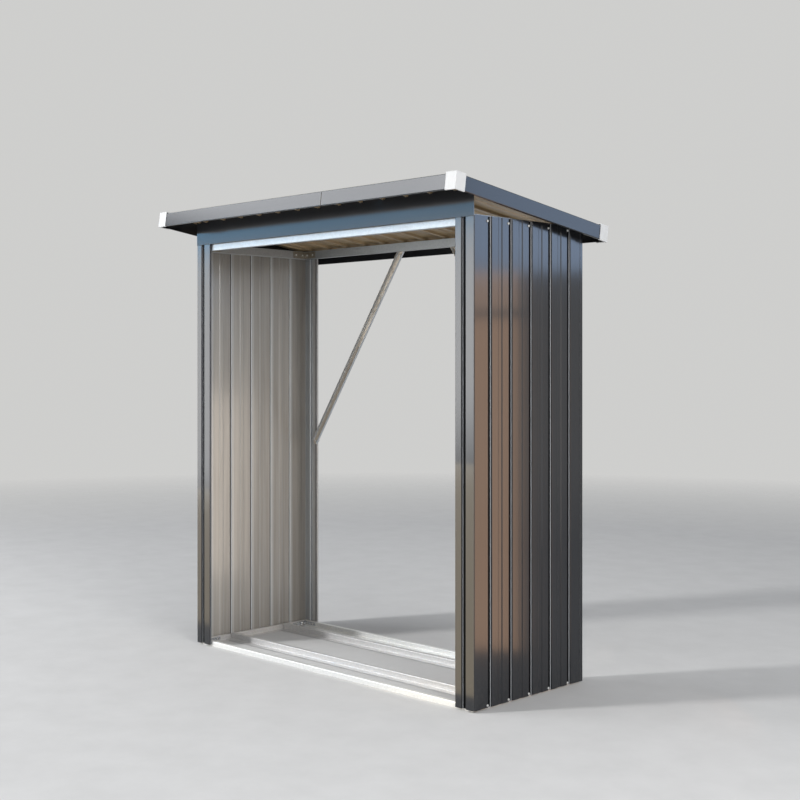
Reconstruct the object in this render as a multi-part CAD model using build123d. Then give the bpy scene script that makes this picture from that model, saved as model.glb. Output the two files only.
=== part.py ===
"""Open log store: profiled sheet walls and a single-pitch roof on a frame of folded rails.

Millimetres. X runs along the front to the right, Y to the back and Z up. While the pieces are made,
the front left corner of the walls stands on the origin. At the end everything moves to the middle of
the store's own footprint, on the ground.
"""

import os
from math import cos, radians, sin, tan

from build123d import *

# Walls
wall_width = 1560.0
wall_depth = 605.0
wall_top = 1684.0
ground_gap = 6.0

# Sheet metal
sheet_thickness = 0.8
rail_thickness = 1.0
bend_radius = 1.5
sharpest_plain_bend = 40.0
seat_gap = 0.3
mitre_gap = 0.3

# Ribs pressed into the walls
rail_inset = 10.2
rib_width = 20.0
rib_floor = 12.0
wall_rib_pitch = 110.0
wall_rib_margin = 60.0
left_rib_shift = 12.0
swage_width = 22.0
swage_floor = 14.0
swage_depth = 1.8

# Corner posts
post_width = 88.0
post_leg = 15.0
post_groove_from_left = 29.0
post_hem = 8.0

# Rails on the ground
base_rail_height = 20.0
rail_width = 18.0
rail_flange = 30.0
floor_rail_height = 24.0
floor_rail_from_front = 157.0
floor_rail_from_back = 156.0

# Rails at the wall tops
top_rail_height = 35.0
top_rail_rise = 3.0

# Corner brackets
bracket_leg = 70.0
bracket_thickness = 1.5
bracket_margin = 3.0

# Header panel over the front opening
header_overlap = 6.0
header_flange = 25.0
header_rib_room = 1.4

# Diagonal braces in the open back
brace_width = 30.0
brace_depth = 12.0
brace_foot_x = 84.0
brace_foot_z = 833.0
brace_head_x = 628.0

# Roof
roof_slope = 8.07
roof_side_overhang = 54.5
roof_front_overhang = 149.0
roof_rear_overhang = 82.0
roof_rib_depth = 9.0
roof_swage_depth = 2.5
roof_rib_pitch = 117.2
roof_edge_rib = 74.5
roof_first_rib = 123.5
roof_rib_margin = 60.0
roof_lap = 30.0

# Trims and corner caps
trim_height = 53.5
trim_lip = 40.0
trim_return = 8.0
trim_joint_x = 954.0
trim_joint_gap = 3.0
cap_leg = 45.0
cap_thickness = 1.8
cap_rise = 5.0
cap_drop = 0.5
cap_return = 5.0
cap_edge_radius = 1.5

# Worked out from the sizes above
lap_offset = sheet_thickness + seat_gap
sheet_edge_room = sheet_thickness + bend_radius + seat_gap
rail_edge_room = rail_thickness + bend_radius + seat_gap
post_rib_depth = rail_inset - seat_gap - sheet_thickness
wall_rib_depth = post_rib_depth - lap_offset
wall_rib_count = int((wall_depth - 2 * wall_rib_margin) // wall_rib_pitch) + 1
top_rail_top = wall_top + top_rail_rise
top_rail_foot = top_rail_top - top_rail_height
header_foot = wall_top - header_overlap
slope = radians(roof_slope)
roof_width = wall_width + 2 * roof_side_overhang
wall_run = wall_depth / cos(slope)
roof_run = roof_front_overhang + wall_run + roof_rear_overhang
roof_rib_count = int((roof_width - roof_first_rib - roof_rib_margin) // roof_rib_pitch) + 1
roof_left_ribs = roof_rib_count // 2 + 2
right_sheet_drop = rail_thickness + seat_gap
left_sheet_drop = right_sheet_drop + sheet_thickness + seat_gap
roof_underside = left_sheet_drop + roof_rib_depth + sheet_thickness
rear_seat_y = wall_depth - rail_inset
rear_seat_z = top_rail_top + seat_gap
roof_height = rear_seat_z + rear_seat_y * tan(slope) + roof_underside / cos(slope)

UP = Vector(0, 0, 1)
FORWARD = Vector(0, -1, 0)
BACK = Vector(0, 1, 0)
LEFT = Vector(-1, 0, 0)
RIGHT = Vector(1, 0, 0)


# Folded sections

def folded_section(path, thickness, radius=bend_radius):
    """Face of a sheet folded along the points of a path, with its thickness to the left of the path.

    Bends have an inner radius, apart from the slight ones, and none has where the radius is 0.
    """
    points = [Vector(*point) for point in path]
    steps = [(b - a).normalized() for a, b in zip(points, points[1:])]
    sides = [Vector(-step.Y, step.X) for step in steps]
    far = [points[0] + sides[0] * thickness]
    near_radii = []
    far_radii = []
    for i in range(1, len(points) - 1):
        mitre = sides[i - 1] + sides[i]
        far.append(points[i] + mitre * (2 * thickness / mitre.length ** 2))
        turn = steps[i - 1].cross(steps[i]).Z
        bent = steps[i - 1].get_angle(steps[i]) > sharpest_plain_bend
        inner = radius if bent else 0
        outer = radius + thickness if bent else 0
        near_radii.append(outer if turn > 0 else inner)
        far_radii.append(inner if turn > 0 else outer)
    far.append(points[-1] + sides[-1] * thickness)
    near_side = FilletPolyline(*points, radius=near_radii)
    far_side = FilletPolyline(*far, radius=far_radii)
    ends = [Line(points[0], far[0]), Line(points[-1], far[-1])]
    return make_face(near_side.edges() + far_side.edges() + ends)


def groove(centre, width, floor, depth):
    """The four points of a groove, along a line whose depth grows away from the face."""
    return [
        (centre - width / 2, 0),
        (centre - floor / 2, depth),
        (centre + floor / 2, depth),
        (centre + width / 2, 0),
    ]


def ribbed_line(start, end, ribs, swages, rib_depth, swage_drop, room=0):
    """Points of a profiled sheet from start to end, as pairs of place and depth.

    With room, every groove is wider by that much on both sides, to clear a sheet of the same profile.
    """
    wider = 2 * room
    grooves = [(centre, groove(centre, rib_width + wider, rib_floor + wider, rib_depth)) for centre in ribs]
    for centre in swages:
        grooves.append((centre, groove(centre, swage_width + wider, swage_floor + wider, swage_drop)))
    points = [(start, 0)]
    for _, corners in sorted(grooves):
        points += corners
    return points + [(end, 0)]


def edge_run(section, middle, inward, length):
    """A section run along one side of a ring and mitred at both ends to meet the next sides.

    The section's first coordinate points inward and its second up. The middle lies on the outer face.
    """
    along = inward.cross(UP)
    plane = Plane(origin=middle, x_dir=inward, z_dir=along)
    run = extrude(plane * section, amount=length / 2, both=True)
    for end in (along, along * -1):
        corner = middle - end * (length / 2)
        normal = (end - inward).normalized()
        cut = Plane(origin=corner + normal * (mitre_gap / 2), z_dir=normal)
        run = split(run, bisect_by=cut, keep=Keep.TOP)
    return run


def ring(section, x_low, x_high, y_low, y_high):
    """The front, rear, left and right runs of a mitred ring."""
    x_middle = (x_low + x_high) / 2
    y_middle = (y_low + y_high) / 2
    width = x_high - x_low
    depth = y_high - y_low
    return {
        "front": edge_run(section, Vector(x_middle, y_low, 0), BACK, width),
        "rear": edge_run(section, Vector(x_middle, y_high, 0), FORWARD, width),
        "left": edge_run(section, Vector(x_low, y_middle, 0), RIGHT, depth),
        "right": edge_run(section, Vector(x_high, y_middle, 0), LEFT, depth),
    }


def mirrored_x(piece):
    """The same piece on the other side of the store's middle."""
    return mirror(piece, about=Plane.YZ.offset(wall_width / 2))


def mirrored_y(piece):
    """The same piece at the other end of the walls' depth."""
    return mirror(piece, about=Plane.XZ.offset(-wall_depth / 2))


# Walls and posts

def side_wall(rib_shift=0):
    """Side wall on the left: one sheet with ribs and swages pressed inward, under the posts' legs.

    The ribs stand in the middle of the wall's depth, or nearer to the front by the shift.
    """
    first_rib = (wall_depth - (wall_rib_count - 1) * wall_rib_pitch) / 2 - rib_shift
    ribs = [first_rib + i * wall_rib_pitch for i in range(wall_rib_count)]
    swages = [rib + wall_rib_pitch / 2 for rib in ribs[:-1]]
    line = ribbed_line(sheet_edge_room, wall_depth - sheet_edge_room, ribs, swages, wall_rib_depth, swage_depth)
    path = [(lap_offset + depth, place) for place, depth in reversed(line)]
    section = folded_section(path, sheet_thickness)
    return Pos(0, 0, ground_gap) * extrude(section, amount=wall_top - ground_gap, dir=UP)


def front_post(left):
    """A front corner post: a leg on the side wall, a grooved face and a hemmed inner edge."""
    edge_x = 0 if left else wall_width - post_width
    groove_x = edge_x + post_groove_from_left + rib_width / 2
    face = groove(groove_x, rib_width, rib_floor, post_rib_depth)
    lip_depth = post_rib_depth + sheet_thickness
    if left:
        path = [(0, post_leg), (0, 0)] + face
        path += [(post_width, 0), (post_width, lip_depth), (post_width - post_hem, lip_depth)]
    else:
        path = [(edge_x + post_hem, lip_depth), (edge_x, lip_depth), (edge_x, 0)] + face
        path += [(wall_width, 0), (wall_width, post_leg)]
    section = folded_section(path, sheet_thickness)
    return Pos(0, 0, ground_gap) * extrude(section, amount=wall_top - ground_gap, dir=UP)


def roof_z(y, depth):
    """Height at a place y of the plane that lies a depth under the trims' top."""
    return roof_height - y * tan(slope) - depth / cos(slope)


def header_comb():
    """The header's top edge, that stands up from its face and follows the roof sheets' ribs."""
    back_y = -seat_gap
    sheet_depth = left_sheet_drop + sheet_thickness + seat_gap
    rib_bite = roof_rib_depth + sheet_thickness / 2
    left_ribs, right_ribs = ribs_by_sheet()
    ribs = [rib for rib in left_ribs + right_ribs if 0 < rib - rib_width / 2 - header_rib_room]
    swages = roof_swages(left_ribs) + roof_swages(right_ribs)
    line = ribbed_line(0, wall_width, ribs, swages, rib_bite, roof_swage_depth, header_rib_room)
    foot_z = roof_z(back_y, sheet_depth + roof_rib_depth + 4 * sheet_thickness)
    outline = [(place, roof_z(back_y, sheet_depth + depth)) for place, depth in line]
    outline += [(wall_width, foot_z), (0, foot_z)]
    face = Plane(origin=(0, back_y, 0), x_dir=RIGHT, z_dir=FORWARD) * make_face(Polyline(*outline, close=True))
    return extrude(face, amount=sheet_thickness)


def header_panel():
    """Panel over the front opening, in front of the posts, with a flange that follows the roof."""
    face_y = -lap_offset
    flange_depth = roof_underside + seat_gap
    flange_end_y = face_y + header_flange * cos(slope)
    lip_end_y = rail_inset - seat_gap
    path = [
        (flange_end_y, roof_z(flange_end_y, flange_depth)),
        (face_y, roof_z(face_y, flange_depth)),
        (face_y, header_foot),
        (lip_end_y, header_foot),
    ]
    plane = Plane(origin=(wall_width / 2, 0, 0), x_dir=BACK, z_dir=RIGHT)
    section = folded_section(path, sheet_thickness)
    panel = extrude(plane * section, amount=wall_width / 2, both=True) + header_comb()
    room = post_width + seat_gap
    notch = Box(room, rail_inset + seat_gap, 4 * sheet_thickness, align=(Align.MIN, Align.MIN, Align.CENTER))
    for x in (0, wall_width - room):
        panel -= Pos(x, -seat_gap, header_foot) * notch
    return panel


# Rails and brackets

def base_rail_section():
    """Step-shaped rail on the ground: outer web, top, inner web and a flange towards the middle."""
    path = [
        (0, 0),
        (0, base_rail_height),
        (rail_width, base_rail_height),
        (rail_width, rail_thickness),
        (rail_width + rail_flange, rail_thickness),
    ]
    return folded_section(path[::-1], rail_thickness)


def top_rail_section():
    """Channel at the wall tops, open upwards."""
    path = [(0, top_rail_top), (0, top_rail_foot), (rail_width, top_rail_foot), (rail_width, top_rail_top)]
    return folded_section(path, rail_thickness)


def floor_rail(web_y):
    """Rail across the floor, with its flange to the front, laid on the side rails' flanges."""
    foot = rail_thickness + seat_gap
    top = foot + floor_rail_height
    path = [
        (-rail_flange, foot + rail_thickness),
        (0, foot + rail_thickness),
        (0, top),
        (rail_width, top),
        (rail_width, foot),
    ]
    section = folded_section(path[::-1], rail_thickness)
    plane = Plane(origin=(wall_width / 2, web_y, 0), x_dir=BACK, z_dir=RIGHT)
    room = rail_inset + rail_width + bend_radius + seat_gap
    return extrude(plane * section, amount=wall_width / 2 - room, both=True)


def corner_bracket(foot, height):
    """Front left corner bracket: an angle plate against the inner webs of two rails."""
    corner = rail_inset + rail_width + seat_gap
    path = [(corner, corner + bracket_leg), (corner, corner), (corner + bracket_leg, corner)]
    section = folded_section(path, bracket_thickness)
    return Pos(0, 0, foot + bracket_margin) * extrude(section, amount=height - 2 * bracket_margin, dir=UP)


def four_corners(name, piece):
    """The front left piece and its three mirror images."""
    return {
        f"{name}_front_left": piece,
        f"{name}_front_right": mirrored_x(piece),
        f"{name}_rear_left": mirrored_y(piece),
        f"{name}_rear_right": mirrored_y(mirrored_x(piece)),
    }


# Braces

def brace():
    """Left brace: a channel open to the front, from a bolt on the post to the rail above."""
    half = brace_width / 2
    foot = Vector(brace_foot_x, wall_depth - rail_inset, brace_foot_z)
    head = Vector(brace_head_x, wall_depth - rail_inset, top_rail_foot - seat_gap)
    line = (head - foot).normalized()
    across = FORWARD.cross(line)
    path = [(-half, brace_depth), (-half, 0), (half, 0), (half, brace_depth)]
    section = Plane(origin=foot, x_dir=across, z_dir=line) * folded_section(path, rail_thickness)
    shaft = extrude(section, amount=(head - foot).length + brace_width)
    shaft = split(shaft, bisect_by=Plane(origin=head, z_dir=UP * -1), keep=Keep.TOP)
    rounding = Plane(origin=foot, x_dir=across, z_dir=FORWARD) * Circle(half)
    tip = extrude(section, amount=-half) & extrude(rounding, amount=brace_depth)
    tab = Box(brace_width / line.Z, brace_depth, rail_thickness, align=(Align.CENTER, Align.MAX, Align.MAX))
    return shaft + tip + Pos(head.X, head.Y, head.Z) * tab


# Roof, in a flat frame: X across, Y down the slope from above the wall front, Z out of the roof

def ribs_by_sheet():
    """Places of the ribs in the left and the right sheet: one by the left edge, the rest evenly spaced."""
    even = [roof_first_rib + i * roof_rib_pitch for i in range(roof_rib_count)]
    ribs = [place - roof_side_overhang for place in [roof_edge_rib] + even]
    return ribs[:roof_left_ribs], ribs[roof_left_ribs:]


def roof_swages(ribs):
    """Places of the swages, one in the middle of each full pitch."""
    pairs = zip(ribs, ribs[1:])
    return [(low + high) / 2 for low, high in pairs if high - low > roof_rib_pitch / 2]


def roof_sheet(start, end, ribs, drop):
    """A roof sheet with ribs and swages pressed down, between two places across the roof."""
    line = ribbed_line(start, end, ribs, roof_swages(ribs), roof_rib_depth, roof_swage_depth)
    path = [(place, -drop - depth) for place, depth in reversed(line)]
    section = folded_section(path, sheet_thickness, radius=0)
    plane = Plane(origin=(0, rail_edge_room - roof_front_overhang, 0), x_dir=RIGHT, z_dir=FORWARD)
    return extrude(plane * section, amount=-(roof_run - 2 * rail_edge_room))


def roof_sheets():
    """Two sheets: the right one laps over the left one between two ribs."""
    left_ribs, right_ribs = ribs_by_sheet()
    lap_x = right_ribs[0] - roof_rib_pitch / 2
    left_edge = rail_edge_room - roof_side_overhang
    right_edge = left_edge + roof_width - 2 * rail_edge_room
    left = roof_sheet(left_edge, lap_x + roof_lap / 2, left_ribs, left_sheet_drop)
    right = roof_sheet(lap_x - roof_lap / 2, right_edge, right_ribs, right_sheet_drop)
    return {"roof_sheet_left": left, "roof_sheet_right": right}


def trim_section():
    """Edge trim: a lip on the sheets, a face outside their edge and a small return below."""
    path = [(trim_lip, 0), (0, 0), (0, -trim_height), (trim_return, -trim_height)]
    return folded_section(path, rail_thickness)


def in_two(run, joint_x):
    """One run cut into a left and a right length, with a joint gap between them."""
    left = split(run, bisect_by=Plane.YZ.offset(joint_x - trim_joint_gap / 2), keep=Keep.BOTTOM)
    right = split(run, bisect_by=Plane.YZ.offset(joint_x + trim_joint_gap / 2), keep=Keep.TOP)
    return left, right


def roof_trims():
    """Trims on the four edges of the roof, the front and rear ones in two lengths."""
    left_edge = -roof_side_overhang
    rear_edge = roof_run - roof_front_overhang
    runs = ring(trim_section(), left_edge, left_edge + roof_width, -roof_front_overhang, rear_edge)
    front_left, front_right = in_two(runs["front"], trim_joint_x)
    rear_left, rear_right = in_two(runs["rear"], trim_joint_x)
    return {
        "front_trim_left": front_left,
        "front_trim_right": front_right,
        "rear_trim_left": rear_left,
        "rear_trim_right": rear_right,
        "left_trim": runs["left"],
        "right_trim": runs["right"],
    }


def corner_cap():
    """Front left cap: a moulded shell over the ends of two trims, closed on top."""
    shell = cap_thickness + seat_gap
    low_corner = (Align.MIN, Align.MIN, Align.MIN)
    height = cap_drop + cap_thickness + trim_height + cap_rise
    outer = Box(cap_leg + shell, cap_leg + shell, height, align=low_corner)
    outer = fillet(outer.edges().filter_by(Axis.Z).sort_by(SortBy.DISTANCE)[:1], cap_edge_radius)
    hollow = Box(cap_leg + shell, cap_leg + shell, height - 2 * cap_thickness, align=low_corner)
    mouth = Box(cap_leg + shell, cap_leg + shell, 3 * cap_thickness, align=low_corner)
    outer -= Pos(cap_thickness, cap_thickness, cap_thickness) * hollow
    inner_lip = cap_thickness + cap_return
    outer -= Pos(inner_lip, inner_lip, -cap_thickness) * mouth
    foot = -trim_height - cap_drop - cap_thickness
    return Pos(-roof_side_overhang - shell, -roof_front_overhang - shell, foot) * outer


def corner_caps():
    """Four caps, mirrored about the middle of the roof."""
    across = Plane.YZ.offset(roof_width / 2 - roof_side_overhang)
    along = Plane.XZ.offset(-(roof_run / 2 - roof_front_overhang))
    cap = corner_cap()
    return {
        "front_left_cap": cap,
        "front_right_cap": mirror(cap, about=across),
        "rear_left_cap": mirror(cap, about=along),
        "rear_right_cap": mirror(mirror(cap, about=along), about=across),
    }


def roof():
    """Every piece of the roof, tilted so that it falls to the back."""
    pieces = {**roof_sheets(), **roof_trims(), **corner_caps()}
    tilt = Pos(0, 0, roof_height) * Rot(-roof_slope, 0, 0)
    return {name: tilt * piece for name, piece in pieces.items()}


# The whole store

def all_pieces():
    """Every piece by its name, standing with the walls' front left corner on the origin."""
    inner = (rail_inset, wall_width - rail_inset, rail_inset, wall_depth - rail_inset)
    left_post = front_post(left=True)
    right_post = front_post(left=False)
    left_brace = brace()
    pieces = {
        "side_wall_left": side_wall(left_rib_shift),
        "side_wall_right": mirrored_x(side_wall()),
        "front_left_post": left_post,
        "front_right_post": right_post,
        "rear_left_post": mirrored_y(left_post),
        "rear_right_post": mirrored_y(right_post),
        "front_header_panel": header_panel(),
        "floor_rail_front": floor_rail(floor_rail_from_front),
        "floor_rail_rear": floor_rail(wall_depth - floor_rail_from_back),
        "brace_left": left_brace,
        "brace_right": mirrored_x(left_brace),
    }
    pieces.update({f"{side}_base_rail": run for side, run in ring(base_rail_section(), *inner).items()})
    pieces.update({f"{side}_top_rail": run for side, run in ring(top_rail_section(), *inner).items()})
    pieces.update(four_corners("base_bracket", corner_bracket(rail_thickness, base_rail_height)))
    pieces.update(four_corners("top_bracket", corner_bracket(top_rail_foot, top_rail_height)))
    pieces.update(roof())
    return pieces


def footprint_centre():
    """Middle of the ground that the roof with its caps covers."""
    shell = cap_thickness + seat_gap
    foot = -trim_height - cap_drop - cap_thickness
    front_y = (-roof_front_overhang - shell) * cos(slope) + foot * sin(slope)
    rear_y = (roof_run - roof_front_overhang + shell) * cos(slope) + cap_rise * sin(slope)
    return Vector(wall_width / 2, (front_y + rear_y) / 2, 0)


def write_parts():
    """Writes each piece to its own file, with the origin in the middle of the footprint."""
    os.makedirs("parts", exist_ok=True)
    centre = footprint_centre()
    for name, piece in all_pieces().items():
        export_step(Pos(-centre.X, -centre.Y, 0) * piece, f"parts/{name}.step")


write_parts()
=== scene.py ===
from math import cos, pi, radians, sin

import bmesh
import bpy
from mathutils import Matrix, Vector


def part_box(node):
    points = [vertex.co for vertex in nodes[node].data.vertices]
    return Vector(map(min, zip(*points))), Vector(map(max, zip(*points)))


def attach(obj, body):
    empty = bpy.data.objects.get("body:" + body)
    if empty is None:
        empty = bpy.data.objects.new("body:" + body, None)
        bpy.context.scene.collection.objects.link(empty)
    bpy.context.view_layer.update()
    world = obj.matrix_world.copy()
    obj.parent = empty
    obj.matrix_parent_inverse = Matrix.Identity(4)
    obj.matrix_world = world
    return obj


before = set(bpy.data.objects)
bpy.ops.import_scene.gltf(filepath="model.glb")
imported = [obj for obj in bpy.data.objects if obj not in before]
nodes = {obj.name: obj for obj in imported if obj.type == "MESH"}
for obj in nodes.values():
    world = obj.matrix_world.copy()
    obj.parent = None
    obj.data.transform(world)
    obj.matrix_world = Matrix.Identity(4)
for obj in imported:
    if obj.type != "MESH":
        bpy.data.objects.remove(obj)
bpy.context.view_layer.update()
scene = bpy.context.scene
MM = 0.001

# Places read from the solids, in metres
side_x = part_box("front_right_post")[1].x
front_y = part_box("front_right_post")[0].y
rear_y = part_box("rear_right_post")[1].y
middle_y = (front_y + rear_y) / 2
wall_depth = rear_y - front_y

# The roof's own frame: it falls to the back by this angle
ROOF_SLOPE = radians(8.07)
ROOF_DOWN = Vector((0, cos(ROOF_SLOPE), -sin(ROOF_SLOPE)))
ROOF_OUT = Vector((0, sin(ROOF_SLOPE), cos(ROOF_SLOPE)))


# Materials

class Look:
    """A Principled material whose colour, roughness and bump are built up from noise in object space."""

    def __init__(self, name, metallic=0.0, coat=0.0, coat_roughness=0.1, specular=0.5):
        self.material = bpy.data.materials.new(name)
        self.material.use_nodes = True
        self.tree = self.material.node_tree
        self.shader = self.tree.nodes["Principled BSDF"]
        self.shader.inputs["Metallic"].default_value = metallic
        self.shader.inputs["Coat Weight"].default_value = coat
        self.shader.inputs["Coat Roughness"].default_value = coat_roughness
        self.shader.inputs["Specular IOR Level"].default_value = specular
        self.place = self.tree.nodes.new("ShaderNodeTexCoord").outputs["Object"]
        self.normal = None

    def link(self, source, socket):
        self.tree.links.new(source, socket)

    def node(self, kind, **values):
        made = self.tree.nodes.new(kind)
        for key, value in values.items():
            setattr(made, key, value)
        return made

    def feed(self, value, socket):
        """Sets a socket to a number or a colour, or links it to what another node gives."""
        if isinstance(value, (int, float)):
            socket.default_value = value
        elif isinstance(value, tuple):
            socket.default_value = (*value, 1)
        else:
            self.link(value, socket)

    def stretched(self, scale):
        mapping = self.node("ShaderNodeMapping")
        mapping.inputs["Scale"].default_value = scale
        self.link(self.place, mapping.inputs["Vector"])
        return mapping.outputs["Vector"]

    def noise(self, scale, detail=3.0, rough=0.5, stretch=(1, 1, 1)):
        made = self.node("ShaderNodeTexNoise")
        made.inputs["Scale"].default_value = scale
        made.inputs["Detail"].default_value = detail
        made.inputs["Roughness"].default_value = rough
        self.link(self.stretched(stretch), made.inputs["Vector"])
        return made.outputs["Fac"]

    def cells(self, scale):
        made = self.node("ShaderNodeTexVoronoi")
        made.inputs["Scale"].default_value = scale
        self.link(self.place, made.inputs["Vector"])
        return made.outputs["Color"]

    def ramp(self, source, low, high, out_low=0.0, out_high=1.0):
        made = self.node("ShaderNodeMapRange")
        made.inputs["From Min"].default_value = low
        made.inputs["From Max"].default_value = high
        made.inputs["To Min"].default_value = out_low
        made.inputs["To Max"].default_value = out_high
        self.link(source, made.inputs["Value"])
        return made.outputs["Result"]

    def maths(self, operation, a, b=0.0):
        made = self.node("ShaderNodeMath", operation=operation)
        self.feed(a, made.inputs[0])
        self.feed(b, made.inputs[1])
        return made.outputs["Value"]

    def mix(self, factor, a, b):
        made = self.node("ShaderNodeMix", data_type="RGBA")
        self.feed(factor, made.inputs["Factor"])
        self.feed(a, made.inputs["A"])
        self.feed(b, made.inputs["B"])
        return made.outputs["Result"]

    def axes(self):
        split = self.node("ShaderNodeSeparateXYZ")
        self.link(self.place, split.inputs["Vector"])
        return split.outputs

    def depth_behind_faces(self):
        """How far a place lies behind the nearest outer face of the walls and posts, in millimetres."""
        axes = self.axes()
        depths = []
        for axis, centre, reach in (("X", 0.0, side_x), ("Y", middle_y, wall_depth / 2)):
            away = self.maths("ABSOLUTE", self.maths("SUBTRACT", axes[axis], centre))
            depths.append(self.maths("SUBTRACT", reach, away))
        return self.maths("MULTIPLY", self.maths("MINIMUM", *depths), 1000)

    def band(self, depth, low, high, soft=0.4):
        """1 between two depths and 0 outside them."""
        rise = self.ramp(depth, low - soft, low + soft)
        fall = self.ramp(depth, high - soft, high + soft, 1.0, 0.0)
        return self.maths("MULTIPLY", rise, fall)

    def bump(self, height, strength, distance):
        made = self.node("ShaderNodeBump")
        made.inputs["Strength"].default_value = strength
        made.inputs["Distance"].default_value = distance
        self.link(height, made.inputs["Height"])
        if self.normal is not None:
            self.link(self.normal, made.inputs["Normal"])
        self.normal = made.outputs["Normal"]

    def finish(self, colour, roughness):
        self.link(colour, self.shader.inputs["Base Color"])
        self.link(roughness, self.shader.inputs["Roughness"])
        if self.normal is not None:
            self.link(self.normal, self.shader.inputs["Normal"])
        return self.material


def scaled(colour, by):
    return tuple(min(1.0, channel * by) for channel in colour)


def along_axis(axis, stretch):
    """Noise scales that draw the noise out along one axis."""
    return tuple(stretch if letter == axis else 1.0 for letter in "XYZ")


def paint(name, colour, roughness, along, dust, coat=0.85, metallic=0.0, contrast=0.07, dull=(), painted_highlights=()):
    """Baked paint on thin sheet: faint streaks along the rolling direction, orange peel, dust low down.

    The dull and the bright bands hold depths behind the outer faces, in millimetres. Between the dull depths
    the paint is darkened and loses its coat by a share: painted shade in the folds.
    Between the bright depths it takes a lighter colour: a painted highlight along a bend.
    """
    look = Look(name, metallic=metallic, coat=coat, coat_roughness=0.16, specular=0.03)
    streaks = along_axis(along, 0.03)
    shade_of_streaks = look.ramp(look.noise(34, 4, 0.6, streaks), 0.3, 0.7)
    shade = look.mix(shade_of_streaks, scaled(colour, 1 - contrast), scaled(colour, 1 + contrast))

    near_ground = look.ramp(look.axes()["Z"], 0.0, 0.16, 1.0, 0.0)
    spots = look.ramp(look.noise(75, 5, 0.65), 0.46, 0.8)
    film = look.ramp(look.noise(300, 2), 0.66, 0.85, 0.0, 0.05)
    dirt = look.maths("ADD", look.maths("MULTIPLY", look.maths("MULTIPLY", near_ground, spots), dust), film)
    shade = look.mix(dirt, shade, (0.3, 0.27, 0.23))
    rough = look.ramp(look.noise(18, 4, 0.55, streaks), 0.25, 0.75, roughness * 0.85, roughness * 1.15)
    rough = look.maths("ADD", rough, look.maths("MULTIPLY", dirt, 0.5))

    if dull or painted_highlights:
        depth = look.depth_behind_faces()
    # Painted shade: the folds are darkened and lose their coat, standing in for the shade that falls in them
    if dull:
        matt = 0.0
        for low, high, share in dull:
            matt = look.maths("ADD", look.maths("MULTIPLY", look.band(depth, low, high), share), matt)
        shade = look.mix(matt, shade, scaled(colour, 0.2))
        look.link(look.ramp(matt, 0.0, 1.0, coat, 0.0), look.shader.inputs["Coat Weight"])
    # Painted highlights: lighter lines in the folds, standing in for reflections along the bends
    for low, high, highlight_colour in painted_highlights:
        shade = look.mix(look.band(depth, low, high), shade, highlight_colour)

    look.bump(look.noise(9, 2, 0.4, along_axis(along, 0.12)), 0.2, 0.0012)
    look.bump(look.noise(900, 2), 0.1, 0.0001)
    return look.finish(shade, rough)


def galvanised(name, colour, along, metallic=0.4, stains=0.12):
    """Hot-dip steel: spangle in two sizes, faint drawing lines along the rail and dull patches."""
    roughness = 0.42
    look = Look(name, metallic=metallic)
    grey = look.node("ShaderNodeRGBToBW")
    look.link(look.mix(0.5, look.cells(120), look.cells(300)), grey.inputs["Color"])
    spangle = look.ramp(grey.outputs["Val"], 0.2, 0.85)
    shade = look.mix(spangle, scaled(colour, 0.92), scaled(colour, 1.05))
    patches = look.ramp(look.noise(14, 5, 0.6), 0.5, 0.8, 0.0, stains)
    shade = look.mix(patches, shade, scaled(colour, 0.72))
    rough = look.ramp(spangle, 0.0, 1.0, roughness * 1.15, roughness * 0.88)
    rough = look.maths("ADD", rough, look.maths("MULTIPLY", patches, 0.35))
    look.bump(look.noise(120, 3, 0.5, along_axis(along, 0.04)), 0.1, 0.0003)
    look.bump(grey.outputs["Val"], 0.06, 0.0002)
    return look.finish(shade, rough)


def zinc(name, colour, roughness, metallic=0.9):
    """Zinc plate on small pieces, or the bare steel of a cut edge, with a little dull bloom."""
    look = Look(name, metallic=metallic)
    bloom = look.ramp(look.noise(150, 4, 0.6), 0.4, 0.75)
    shade = look.mix(bloom, colour, scaled(colour, 0.75))
    look.bump(look.noise(700, 2), 0.1, 0.0001)
    return look.finish(shade, look.ramp(bloom, 0.0, 1.0, roughness, roughness + 0.2))


def moulded(name, colour, roughness):
    """White moulded plastic: fine grain, slight yellowing and grime in patches."""
    look = Look(name, specular=0.1)
    yellowed = tuple(channel * by for channel, by in zip(colour, (0.97, 0.965, 0.94)))
    shade = look.mix(look.ramp(look.noise(22), 0.4, 0.7, 0.0, 0.5), colour, yellowed)
    grime = look.ramp(look.noise(90, 5, 0.65), 0.6, 0.85, 0.0, 0.18)
    shade = look.mix(grime, shade, (0.42, 0.4, 0.36))
    look.bump(look.noise(1400, 2), 0.15, 0.0001)
    return look.finish(shade, look.ramp(look.noise(160), 0.3, 0.7, roughness - 0.05, roughness + 0.08))


def rubber(name):
    """Black sealing washers."""
    look = Look(name, specular=0.3)
    shade = look.mix(look.ramp(look.noise(400), 0.35, 0.7), (0.018, 0.018, 0.019), (0.04, 0.04, 0.042))
    look.bump(look.noise(900, 2), 0.2, 0.0001)
    return look.finish(shade, look.ramp(look.noise(300, 2), 0.3, 0.7, 0.6, 0.8))


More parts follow.
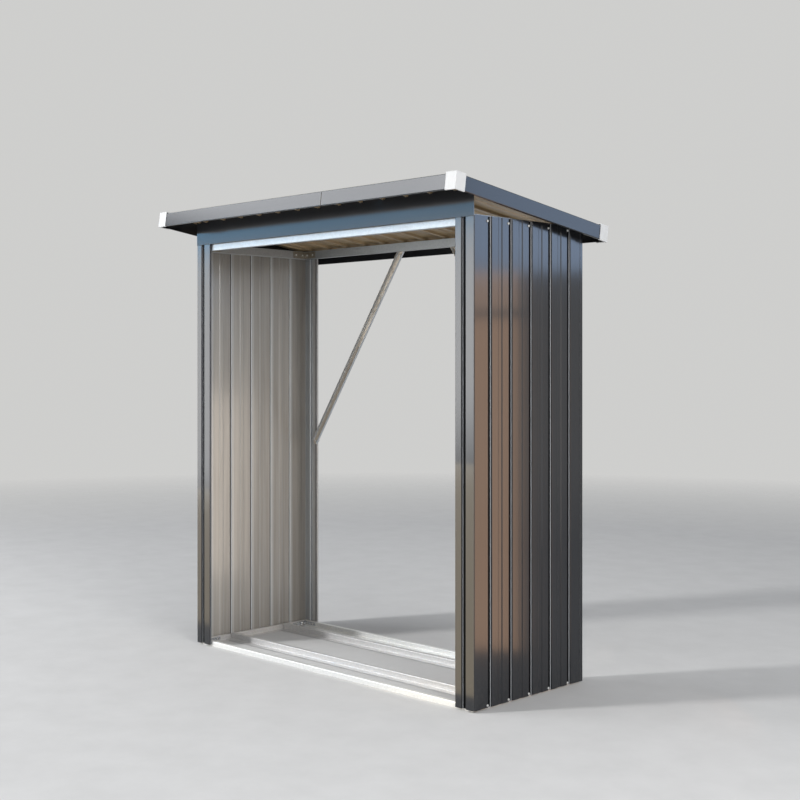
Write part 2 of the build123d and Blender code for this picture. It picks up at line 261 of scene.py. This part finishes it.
# The outer coat. On walls and posts the folds behind the faces carry painted shade, dark and without coat,
# and one bend carries a painted highlight, a light line.
ANTHRACITE = (0.024, 0.026, 0.03)
FOLD_SHADE = ((1.7, 2.4, 0.5), (3.5, 30, 1.0))
BEND_HIGHLIGHT = ((5.2, 6.8, (0.74, 0.76, 0.79)),)
paint_wall = paint("paint_anthracite_wall", ANTHRACITE, 0.3, "Z", dust=0.06, dull=FOLD_SHADE, painted_highlights=BEND_HIGHLIGHT)
paint_header = paint("paint_anthracite_header", ANTHRACITE, 0.3, "X", dust=0.0, coat=0.47)
paint_roof = paint("paint_anthracite_roof", ANTHRACITE, 0.32, "Y", dust=0.0)
paint_trim_x = paint("paint_anthracite_trim_x", ANTHRACITE, 0.3, "X", dust=0.0)
paint_trim_inside = paint("paint_anthracite_trim_inside", ANTHRACITE, 0.4, "X", dust=0.0, coat=0.15)
paint_trim_y = paint("paint_anthracite_trim_y", ANTHRACITE, 0.3, "Y", dust=0.0, coat=0.54)

# The inner coat, with a painted shade line in the folds of walls and posts and two painted highlight lines
# beside it
BACKING = (0.4, 0.375, 0.34)
# Painted cool reflection: a bluer copy of the inner coat for the rear posts
BACKING_REAR_COOL_REFLECTION = (0.36, 0.38, 0.395)
# Painted highlight: a lighter copy of the inner coat for the rear posts' lips, on both sides, and their
# inner faces past the groove
BACKING_LIP_HIGHLIGHT = (0.52, 0.515, 0.51)
# Painted warm reflection and shade: a brown, darker copy of the inner coat for the roof's underside
BACKING_ROOF_WARM_SHADE = (0.35, 0.257, 0.148)
glossy = dict(coat=1.0, metallic=0.25)
# Painted shade and painted highlights in the folds
folded = dict(
    contrast=0.16,
    dull=((4.4, 6.6, 1.0),),
    painted_highlights=((2.3, 3.3, (0.5, 0.5, 0.5)), (7.6, 9.7, (0.78, 0.82, 0.85))),
)
backing_wall = paint("backing_coat_wall", BACKING, 0.34, "Z", dust=0.2, **glossy, **folded)
backing_rear_cool_reflection = paint("backing_coat_rear_cool_reflection", BACKING_REAR_COOL_REFLECTION, 0.34, "Z", dust=0.1, **glossy, **folded)
backing_lip_highlight = paint("backing_coat_lip_highlight", BACKING_LIP_HIGHLIGHT, 0.34, "Z", dust=0.1, **glossy)
backing_roof_warm_shade = paint(
    "backing_coat_roof_warm_shade", BACKING_ROOF_WARM_SHADE, 0.38, "Y", dust=0.0, coat=0.45, metallic=0.15, contrast=0.14)
backing_x = paint("backing_coat_x", BACKING, 0.34, "X", dust=0.0, contrast=0.16, **glossy)

# Bare steel, plastic and rubber
cut_edge = zinc("cut_steel_edge", (0.42, 0.42, 0.43), 0.4, 0.7)
# The rails are all one galvanised steel, given different colours as painted light: lightest on the base
# rails, darker on the floor rails as painted shade, warmer on the side base rails as a painted reflection,
# and darker and cooler on the top rails as painted shade under the roof with a painted cool reflection
galvanised_x = galvanised("galvanised_rail_x", (0.76, 0.765, 0.75), "X")
galvanised_floor_shaded = galvanised("galvanised_floor_rail_shaded", (0.58, 0.575, 0.57), "X")
galvanised_y_warm_reflection = galvanised("galvanised_rail_y_warm_reflection", (0.62, 0.605, 0.59), "Y", metallic=0.5)
galvanised_top_x_cool_shade = galvanised("galvanised_top_rail_x_cool_shade", (0.37, 0.395, 0.41), "X")
galvanised_top_y_cool_shade = galvanised("galvanised_top_rail_y_cool_shade", (0.42, 0.43, 0.435), "Y")
# Painted reflection on the braces: a cool copy of the steel on the flanges and a warm copy on the web, which
# also has more stains
galvanised_brace_cool_reflection = galvanised("galvanised_brace_cool_reflection", (0.56, 0.6, 0.64), "Z")
galvanised_brace_web_warm_reflection = galvanised("galvanised_brace_web_warm_reflection", (0.64, 0.57, 0.48), "Z", stains=0.3)
zinc_plate = zinc("zinc_plate", (0.56, 0.585, 0.62), 0.22, 1.0)
# Painted shade: a darker, warmer copy of the bracket zinc for the top brackets under the roof
zinc_plate_top_shaded = zinc("zinc_plate_top_shaded", (0.42, 0.39, 0.33), 0.3)
zinc_washer = zinc("zinc_washer", (0.22, 0.215, 0.2), 0.35)
# Partly painted highlight: the bolts' and nuts' zinc is raised almost to white so they show as glints
zinc_bolt_glint = zinc("zinc_bolt_glint", (0.95, 0.95, 0.94), 0.2, 0.35)
cap_plastic = moulded("cap_white_plastic", (0.735, 0.735, 0.73), 0.42)
head_paint = moulded("screw_head_white", (0.78, 0.78, 0.76), 0.38)
washer_rubber = rubber("washer_black_rubber")


# Which face of a sheet carries which coat

OUTSIDE, INSIDE, CUT, LIP = range(4)

# How near to a wall's front and rear ends its cut edges lie
WALL_END = 5 * MM

# Limits between the stretches of a post's folded strip: across its face, and behind it
LEG_TO_FACE = 2.6 * MM
PAST_GROOVE = 62 * MM
FACE_TO_HEM = 79 * MM
FACE_TO_LIP = 85 * MM
LEG_END = 14 * MM
HEM_BEHIND = 4.5 * MM


def side_if(inside):
    return INSIDE if inside else OUTSIDE


def wall_side(node, centre, normal):
    if abs(normal.z) > 0.9:
        return CUT
    if abs(normal.y) > 0.95 and abs(centre.y - middle_y) > wall_depth / 2 - WALL_END:
        return CUT
    out = -1 if "left" in node else 1
    return side_if(normal.x * out <= 0)


def post_side(node, centre, normal):
    """Every post is read as if it stood in the place of the front left one: leg, face, lip and hem."""
    right = "right" in node
    rear = "rear" in node
    x = side_x - centre.x if right else centre.x + side_x
    y = rear_y - centre.y if rear else centre.y - front_y
    nx = -normal.x if right else normal.x
    ny = -normal.y if rear else normal.y
    if abs(normal.z) > 0.9:
        return CUT
    if x < LEG_TO_FACE:
        return CUT if ny > 0.9 and y > LEG_END else side_if(nx + ny > 0)
    if x > FACE_TO_LIP:
        outward = nx - ny if y < HEM_BEHIND else nx + ny
        # Painted highlight: on the rear posts the lip takes a lighter copy of the inner coat on both sides
        return LIP if rear else side_if(outward < 0)
    if x > FACE_TO_HEM and y > HEM_BEHIND:
        return CUT if nx < -0.9 else side_if(ny < 0)
    # Painted highlight: the rear posts' inner faces past the groove take the same lighter copy
    if rear and ny > 0 and x > PAST_GROOVE:
        return LIP
    return side_if(ny > 0)


def roof_side(node, centre, normal):
    if abs(normal.dot(ROOF_DOWN)) > 0.9 or abs(normal.x) > 0.95:
        return CUT
    return side_if(normal.dot(ROOF_OUT) < 0)


def brace_side(node, centre, normal):
    """A brace's web, which looks to the front, takes the second coat: a warm painted reflection, and more
    stains than the flanges.
    """
    return side_if(normal.y < -0.9)


def header_side(node, centre, normal):
    if abs(normal.x) > 0.9:
        return CUT
    low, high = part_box(node)
    rise = normal.z if centre.z > (low.z + high.z) / 2 else -normal.z
    return side_if(rise - normal.y < 0)


def trim_side(out, along, levels):
    """Picks a trim's coat: out points away from the store and along runs with the trim."""
    def pick(node, centre, normal):
        if abs(normal.dot(along)) > 0.55 and abs(normal.dot(out)) < 0.9 and abs(normal.dot(ROOF_OUT)) < 0.3:
            return CUT
        rise = normal.dot(ROOF_OUT)
        if centre.dot(ROOF_OUT) < sum(levels) / 2:
            rise = -rise
        return side_if(rise + normal.dot(out) < 0)
    return pick


def coats(node, pick, outside, inside, lip=None):
    """Gives each face of a solid the coat that its side of the sheet carries."""
    mesh = nodes[node].data
    mesh.materials.clear()
    for material in (outside, inside, cut_edge, lip):
        if material:
            mesh.materials.append(material)
    for polygon in mesh.polygons:
        polygon.material_index = pick(node, polygon.center, polygon.normal)


def roof_levels(node):
    """The lowest and highest place of a node, measured square to the roof."""
    levels = [vertex.co.dot(ROOF_OUT) for vertex in nodes[node].data.vertices]
    return min(levels), max(levels)


for side in ("left", "right"):
    coats(f"side_wall_{side}", wall_side, paint_wall, backing_wall)
    coats(f"roof_sheet_{side}", roof_side, paint_roof, backing_roof_warm_shade)
    coats(f"front_{side}_post", post_side, paint_wall, backing_wall)
    coats(f"rear_{side}_post", post_side, paint_wall, backing_rear_cool_reflection, backing_lip_highlight)
    coats(f"brace_{side}", brace_side, galvanised_brace_cool_reflection, galvanised_brace_web_warm_reflection)
coats("front_header_panel", header_side, paint_header, backing_x)

TO_RIGHT = Vector((1, 0, 0))
trims = (
    ("front_trim_left", -ROOF_DOWN, TO_RIGHT, paint_trim_x, paint_trim_x),
    ("front_trim_right", -ROOF_DOWN, TO_RIGHT, paint_trim_x, paint_trim_x),
    ("rear_trim_left", ROOF_DOWN, TO_RIGHT, paint_trim_x, paint_trim_inside),
    ("rear_trim_right", ROOF_DOWN, TO_RIGHT, paint_trim_x, paint_trim_inside),
    ("left_trim", -TO_RIGHT, ROOF_DOWN, paint_trim_y, paint_trim_y),
    ("right_trim", TO_RIGHT, ROOF_DOWN, paint_trim_y, paint_trim_y),
)
for node, out, along, outside, inside in trims:
    coats(node, trim_side(out, along, roof_levels(node)), outside, inside)


def coat_whole(names, material):
    for name in names:
        nodes[name].data.materials.clear()
        nodes[name].data.materials.append(material)


corners = [(end, side) for end in ("front", "rear") for side in ("left", "right")]
coat_whole(["front_base_rail", "rear_base_rail"], galvanised_x)
coat_whole(["floor_rail_front", "floor_rail_rear"], galvanised_floor_shaded)
coat_whole(["left_base_rail", "right_base_rail"], galvanised_y_warm_reflection)
coat_whole(["front_top_rail", "rear_top_rail"], galvanised_top_x_cool_shade)
coat_whole(["left_top_rail", "right_top_rail"], galvanised_top_y_cool_shade)
coat_whole([f"base_bracket_{end}_{side}" for end, side in corners], zinc_plate)
coat_whole([f"top_bracket_{end}_{side}" for end, side in corners], zinc_plate_top_shaded)
coat_whole([f"{end}_{side}_cap" for end, side in corners], cap_plastic)


# Fasteners

def lathe(mesh, profile, segments, slot):
    """A closed turned form from (radius, height) points, both in millimetres, added to a bmesh."""
    rings = []
    for radius, height in profile:
        if radius == 0:
            rings.append([mesh.verts.new((0, 0, height * MM))])
            continue
        ring = []
        for i in range(segments):
            angle = 2 * pi * i / segments
            ring.append(mesh.verts.new((radius * MM * cos(angle), radius * MM * sin(angle), height * MM)))
        rings.append(ring)
    for low, high in zip(rings, rings[1:]):
        for i in range(segments):
            j = (i + 1) % segments
            around = [low[i % len(low)], low[j % len(low)], high[j % len(high)], high[i % len(high)]]
            face = list(dict.fromkeys(around))
            if len(face) > 2:
                mesh.faces.new(face).material_index = slot


def capped_screw(mesh):
    """Hexagon head on a flange, with a sealing washer under it."""
    lathe(mesh, [(0, 0.0), (4.7, 0.0), (4.9, 0.35), (4.7, 0.8), (0, 0.8)], 24, 1)
    lathe(mesh, [(0, 0.7), (4.0, 0.7), (4.2, 0.95), (4.1, 1.25), (3.7, 1.5), (0, 1.6)], 24, 0)
    lathe(mesh, [(0, 1.4), (3.75, 1.4), (3.75, 3.2), (3.5, 3.6), (2.6, 3.95), (1.2, 4.15), (0, 4.2)], 6, 0)


def bolt_head(mesh):
    """Low domed head on a plain washer."""
    lathe(mesh, [(0, 0.0), (4.8, 0.0), (5.0, 0.15), (5.0, 0.75), (4.8, 0.9), (0, 0.9)], 28, 1)
    dome = [(3.9, 0.85), (4.05, 1.2), (3.95, 1.8), (3.5, 2.5), (2.9, 2.95), (2.2, 3.25)]
    lathe(mesh, [(0, 0.85), *dome, (0, 3.4)], 28, 0)


def nut_and_end(mesh):
    """Hexagon nut with both its edges broken, on a washer, and the end of the bolt through it."""
    lathe(mesh, [(0, 0.0), (4.9, 0.0), (5.0, 0.15), (5.0, 0.85), (4.9, 1.0), (0, 1.0)], 28, 1)
    lathe(mesh, [(0, 0.95), (4.2, 0.95), (4.62, 1.3), (4.62, 4.0), (4.2, 4.45), (2.7, 4.5), (0, 4.5)], 6, 0)
    thread = []
    for i in range(6):
        thread += [(2.45, 4.4 + 0.6 * i), (2.1, 4.7 + 0.6 * i)]
    lathe(mesh, [(0, 4.3), *thread, (1.9, 8.0), (0, 8.0)], 20, 1)


def fasteners(name, make, spots, materials):
    """One piece with a copy of a fastener at every spot.

    A spot is a point on the sheet, the sheet's outward direction and a turn about it.
    """
    sample = bmesh.new()
    make(sample)
    bmesh.ops.recalc_face_normals(sample, faces=sample.faces)
    single = bpy.data.meshes.new(name + "_one")
    sample.to_mesh(single)
    sample.free()
    joined = bmesh.new()
    for point, direction, spin in spots:
        turn = direction.to_track_quat("Z", "Y").to_matrix().to_4x4()
        moved = single.copy()
        moved.transform(Matrix.Translation(point) @ turn @ Matrix.Rotation(spin, 4, "Z"))
        joined.from_mesh(moved)
        bpy.data.meshes.remove(moved)
    bpy.data.meshes.remove(single)
    mesh = bpy.data.meshes.new(name)
    joined.to_mesh(mesh)
    joined.free()
    for material in materials:
        mesh.materials.append(material)
    mesh.shade_smooth()
    mesh.set_sharp_from_angle(angle=radians(35))
    piece = bpy.data.objects.new(name, mesh)
    scene.collection.objects.link(piece)
    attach(piece, "root")


def turn_of(i):
    """A different turn for each fastener, the same on every run."""
    golden_angle = 2.39996
    return i * golden_angle % (2 * pi)


# Screws in the side walls: just in front of each rib, into the rails at the foot and at the top
WALL_RIB_PITCH = 111 * MM
WALL_SCREW_LEVELS = (14.5 * MM, 1666.5 * MM)
FLAT_BEHIND_POST = 1.1 * MM
for side, out, first in (("left", -1, 56.5 * MM), ("right", 1, 68.5 * MM)):
    flat_x = out * (side_x - FLAT_BEHIND_POST)
    spots = []
    for level in WALL_SCREW_LEVELS:
        for i in range(5):
            place = Vector((flat_x, front_y + first + WALL_RIB_PITCH * i, level))
            spots.append((place, Vector((out, 0, 0)), turn_of(len(spots))))
    fasteners(f"wall_screws_{side}", capped_screw, spots, (head_paint, washer_rubber))

# Screws in the roof's ribs: into the header's flange and into the rail over the open back.
# The first rib is out of step with the others, and the right sheet laps over the left one.
ROOF_RIB_PITCH = 117.2 * MM
first_rib_x = 20 * MM - side_x
second_rib_x = 69 * MM - side_x
rib_x = [first_rib_x] + [second_rib_x + ROOF_RIB_PITCH * i for i in range(13)]
left_sheet_ribs = 8
roof_screw_rows = (front_y + 14 * MM, rear_y - 19 * MM)
trim_top = roof_levels("right_trim")[1]
left_rib_top = trim_top - 11.4 * MM
right_rib_top = trim_top - 10.3 * MM
sheets = (("left", left_rib_top, rib_x[:left_sheet_ribs]), ("right", right_rib_top, rib_x[left_sheet_ribs:]))
for side, level, ribs in sheets:
    spots = []
    for y in roof_screw_rows:
        down = (y - ROOF_OUT.y * level) / ROOF_DOWN.y
        for x in ribs:
            place = Vector((x, 0, 0)) + ROOF_OUT * level + ROOF_DOWN * down
            spots.append((place, ROOF_OUT, turn_of(len(spots))))
    fasteners(f"roof_screws_{side}", capped_screw, spots, (head_paint, washer_rubber))

# Bolts through the legs of the corner brackets, two to a leg: nuts show below, heads above
WALL_TO_RAIL = 10.2 * MM
RAIL_WIDTH = 18 * MM
SEAM = 0.3 * MM
BRACKET_GAUGE = 1.5 * MM
bracket_face = WALL_TO_RAIL + RAIL_WIDTH + SEAM + BRACKET_GAUGE
bracket_holes = (46 * MM, 84 * MM)
steel = (zinc_bolt_glint, zinc_washer)
for level, height, make in (("base", 11 * MM, nut_and_end), ("top", 1669.5 * MM, bolt_head)):
    for end, side in corners:
        inward_x = 1 if side == "left" else -1
        inward_y = 1 if end == "front" else -1
        corner_x = -inward_x * side_x
        corner_y = front_y if end == "front" else rear_y
        spots = []
        for reach in bracket_holes:
            on_side = Vector((corner_x + inward_x * bracket_face, corner_y + inward_y * reach, height))
            on_end = Vector((corner_x + inward_x * reach, corner_y + inward_y * bracket_face, height))
            spots.append((on_side, Vector((inward_x, 0, 0)), turn_of(len(spots))))
            spots.append((on_end, Vector((0, inward_y, 0)), turn_of(len(spots) + 3)))
        fasteners(f"{level}_bracket_bolts_{end}_{side}", make, spots, steel)

# Bolts at the feet and the heads of the braces, and a nut behind each foot
BRACE_GAUGE = 1 * MM
brace_y = rear_y - WALL_TO_RAIL - BRACE_GAUGE
FOOT_REACH = 84 * MM
FOOT_LEVEL = 833 * MM
HEAD_REACH = 620 * MM
HEAD_LEVEL = 1636 * MM
TO_FRONT = Vector((0, -1, 0))
for side, out in (("left", -1), ("right", 1)):
    foot_x = out * (side_x - FOOT_REACH)
    head_x = out * (side_x - HEAD_REACH)
    foot_bolt = (Vector((foot_x, brace_y, FOOT_LEVEL)), TO_FRONT, 0.4)
    head_bolt = (Vector((head_x, brace_y, HEAD_LEVEL)), TO_FRONT, 1.1)
    foot_nut = (Vector((foot_x, rear_y, FOOT_LEVEL)), -TO_FRONT, 0.2)
    fasteners(f"brace_bolts_{side}", bolt_head, [foot_bolt, head_bolt], steel)
    fasteners(f"brace_nut_{side}", nut_and_end, [foot_nut], steel)


# Stage, light and camera

def backdrop_floor():
    """A pale floor that fades into the background far out."""
    look = Look("studio_floor", specular=0.04)
    mottled = look.ramp(look.noise(6, 5, 0.6), 0.3, 0.7)
    shade = look.mix(mottled, (0.61, 0.605, 0.595), (0.65, 0.645, 0.635))
    look.bump(look.noise(240, 4, 0.6), 0.2, 0.0006)
    look.finish(shade, look.ramp(look.noise(30), 0.3, 0.7, 0.8, 0.95))

    away = look.node("ShaderNodeVectorMath", operation="LENGTH")
    look.link(look.place, away.inputs[0])
    clear = look.node("ShaderNodeBsdfTransparent")
    blend = look.node("ShaderNodeMixShader")
    look.link(look.ramp(away.outputs["Value"], 4.5, 9.0), blend.inputs["Fac"])
    look.link(look.shader.outputs["BSDF"], blend.inputs[1])
    look.link(clear.outputs["BSDF"], blend.inputs[2])
    look.link(blend.outputs["Shader"], look.tree.nodes["Material Output"].inputs["Surface"])

    disc = bmesh.new()
    bmesh.ops.create_circle(disc, cap_ends=True, segments=96, radius=9.5)
    mesh = bpy.data.meshes.new("floor")
    disc.to_mesh(mesh)
    disc.free()
    mesh.materials.append(look.material)
    floor = bpy.data.objects.new("floor", mesh)
    just_below = -0.4 * MM
    floor.location.z = just_below
    scene.collection.objects.link(floor)


def studio_world():
    """Even pale light all round, brighter from above, with a plain pale background."""
    world = bpy.data.worlds.new("studio")
    scene.world = world
    world.use_nodes = True
    tree = world.node_tree
    tree.nodes.clear()

    place = tree.nodes.new("ShaderNodeTexCoord")
    split = tree.nodes.new("ShaderNodeSeparateXYZ")
    tree.links.new(place.outputs["Generated"], split.inputs["Vector"])
    rise = tree.nodes.new("ShaderNodeMapRange")
    rise.inputs["From Min"].default_value = -1
    tree.links.new(split.outputs["Z"], rise.inputs["Value"])
    ramp = tree.nodes.new("ShaderNodeValToRGB")
    tree.links.new(rise.outputs["Result"], ramp.inputs["Fac"])
    stops = ramp.color_ramp.elements
    stops[0].color = (0.24, 0.24, 0.24, 1)
    stops[1].color = (0.46, 0.48, 0.51, 1)
    stops.new(0.5).color = (0.23, 0.23, 0.24, 1)
    stops.new(0.62).color = (0.34, 0.35, 0.37, 1)
    light = tree.nodes.new("ShaderNodeBackground")
    tree.links.new(ramp.outputs["Color"], light.inputs["Color"])

    pale = tree.nodes.new("ShaderNodeBackground")
    pale.inputs["Color"].default_value = (0.62, 0.62, 0.61, 1)
    path = tree.nodes.new("ShaderNodeLightPath")
    shown = path.outputs["Is Camera Ray"]
    for ray in ("Is Glossy Ray", "Is Transmission Ray"):
        either = tree.nodes.new("ShaderNodeMath")
        either.operation = "MAXIMUM"
        tree.links.new(shown, either.inputs[0])
        tree.links.new(path.outputs[ray], either.inputs[1])
        shown = either.outputs["Value"]
    blend = tree.nodes.new("ShaderNodeMixShader")
    tree.links.new(shown, blend.inputs["Fac"])
    tree.links.new(light.outputs["Background"], blend.inputs[1])
    tree.links.new(pale.outputs["Background"], blend.inputs[2])
    output = tree.nodes.new("ShaderNodeOutputWorld")
    tree.links.new(blend.outputs["Shader"], output.inputs["Surface"])


def lamp(name, towards, distance, size, power, target=(0, 0, 0.9), colour=(1, 1, 1), roll=0.0):
    """A rectangular lamp that looks at its target, rolled about that line by some degrees."""
    data = bpy.data.lights.new(name, "AREA")
    data.shape = "RECTANGLE"
    data.size, data.size_y = size
    data.color = colour
    data.energy = power
    light = bpy.data.objects.new(name, data)
    direction = Vector(towards).normalized()
    light.location = Vector(target) + direction * distance
    facing = direction.to_track_quat("Z", "Y").to_matrix()
    light.rotation_euler = (facing @ Matrix.Rotation(radians(roll), 3, "Z")).to_euler()
    light.visible_camera = False
    scene.collection.objects.link(light)
    return light


def panel(*settings):
    """A lamp that shows in glossy paint and metal alone, and throws no light on matt surfaces."""
    lamp(*settings).visible_diffuse = False


backdrop_floor()
studio_world()

# Light on the whole object
lamp("key", (-0.449, -0.778, 0.45), 12.0, (1.1, 1.1), 730)
lamp("upper_panel", (-0.68, -0.64, 0.37), 6.5, (4.6, 1.7), 150, (0, 0, 1.75), (0.94, 0.96, 1.0))
lamp("right_fill", (0.95, -0.3, 0.4), 6.0, (3.0, 2.0), 158)

# What the faces to the front mirror: pale up to the header, cool in the header and warm at the feet.
# The roll turns the edge between pale and cool until it follows the header's lower edge.
PALE = (1, 1, 1)
COOL = (0.12, 0.55, 1.0)
WARM = (1.0, 0.8, 0.5)
EDGE_ROLL = 6.1
FRONT_LEFT = (-0.72, -0.7, 0.04)
AHEAD = (0, -1, 0)
panel("front_panel", FRONT_LEFT, 6.5, (4.2, 2.1), 134, (0, 0, 0.99), PALE, EDGE_ROLL)
panel("front_right_panel", FRONT_LEFT, 6.5, (1.5, 1.7), 20, (0.86, -0.9, 1.315), PALE, EDGE_ROLL)
panel("header_cool_panel", (-0.71, -0.7, 0.12), 6.5, (4.6, 0.5), 53, (0, 0, 1.8), COOL, EDGE_ROLL)
panel("right_foot_panel", AHEAD, 0.14, (0.5, 0.82), 3.5, (0.53, -0.266, 0.415), WARM)
panel("left_foot_panel", AHEAD, 0.25, (0.4, 0.61), 1.34, (-1.05, -0.266, 0.31), WARM)
panel("rib_light", (0.1, -0.985, 0.02), 5.5, (2.2, 2.4), 40, (0.1, 0.0, 0.95))

# What the right wall mirrors: cool above and warm below, with a darker line between
RIGHT_REAR = (0.65, 0.76, 0)
panel("right_cool_panel", (0.643, 0.766, 0), 1.5, (0.84, 0.62), 6.2, (0.78, -0.03, 1.92), (0.46, 0.66, 1.0))
panel("right_low_panel", RIGHT_REAR, 0.8, (0.36, 1.36), 5.3, (0.871, -0.178, 0.69), (1.0, 0.58, 0.33))
panel("right_mid_panel", RIGHT_REAR, 0.8, (0.36, 0.16), 0.56, (0.871, -0.178, 1.48), (1.0, 0.62, 0.4))
panel("side_panel", (0.995, 0.1, 0), 4.0, (0.9, 2.3), 8, (0.78, 0.0, 1.17))

# What the inside of the left wall mirrors
panel("inner_low_panel", (0.79, 0.61, 0), 1.7, (0.26, 1.0), 2.5, (-0.78, -0.2, 0.51), (1.0, 0.86, 0.74))

# The camera stands at the photograph's viewpoint, level, with its frame shifted down
camera_data = bpy.data.cameras.new("camera")
camera_data.sensor_width = 36
camera_data.lens = 58.016
camera_data.shift_y = -0.0443
camera = bpy.data.objects.new("camera", camera_data)
camera.location = (3.6663, -3.5252, 1.1769)
camera.rotation_euler = (radians(90), 0, radians(44.82))
scene.collection.objects.link(camera)
scene.camera = camera
scene.view_settings.view_transform = "Standard"
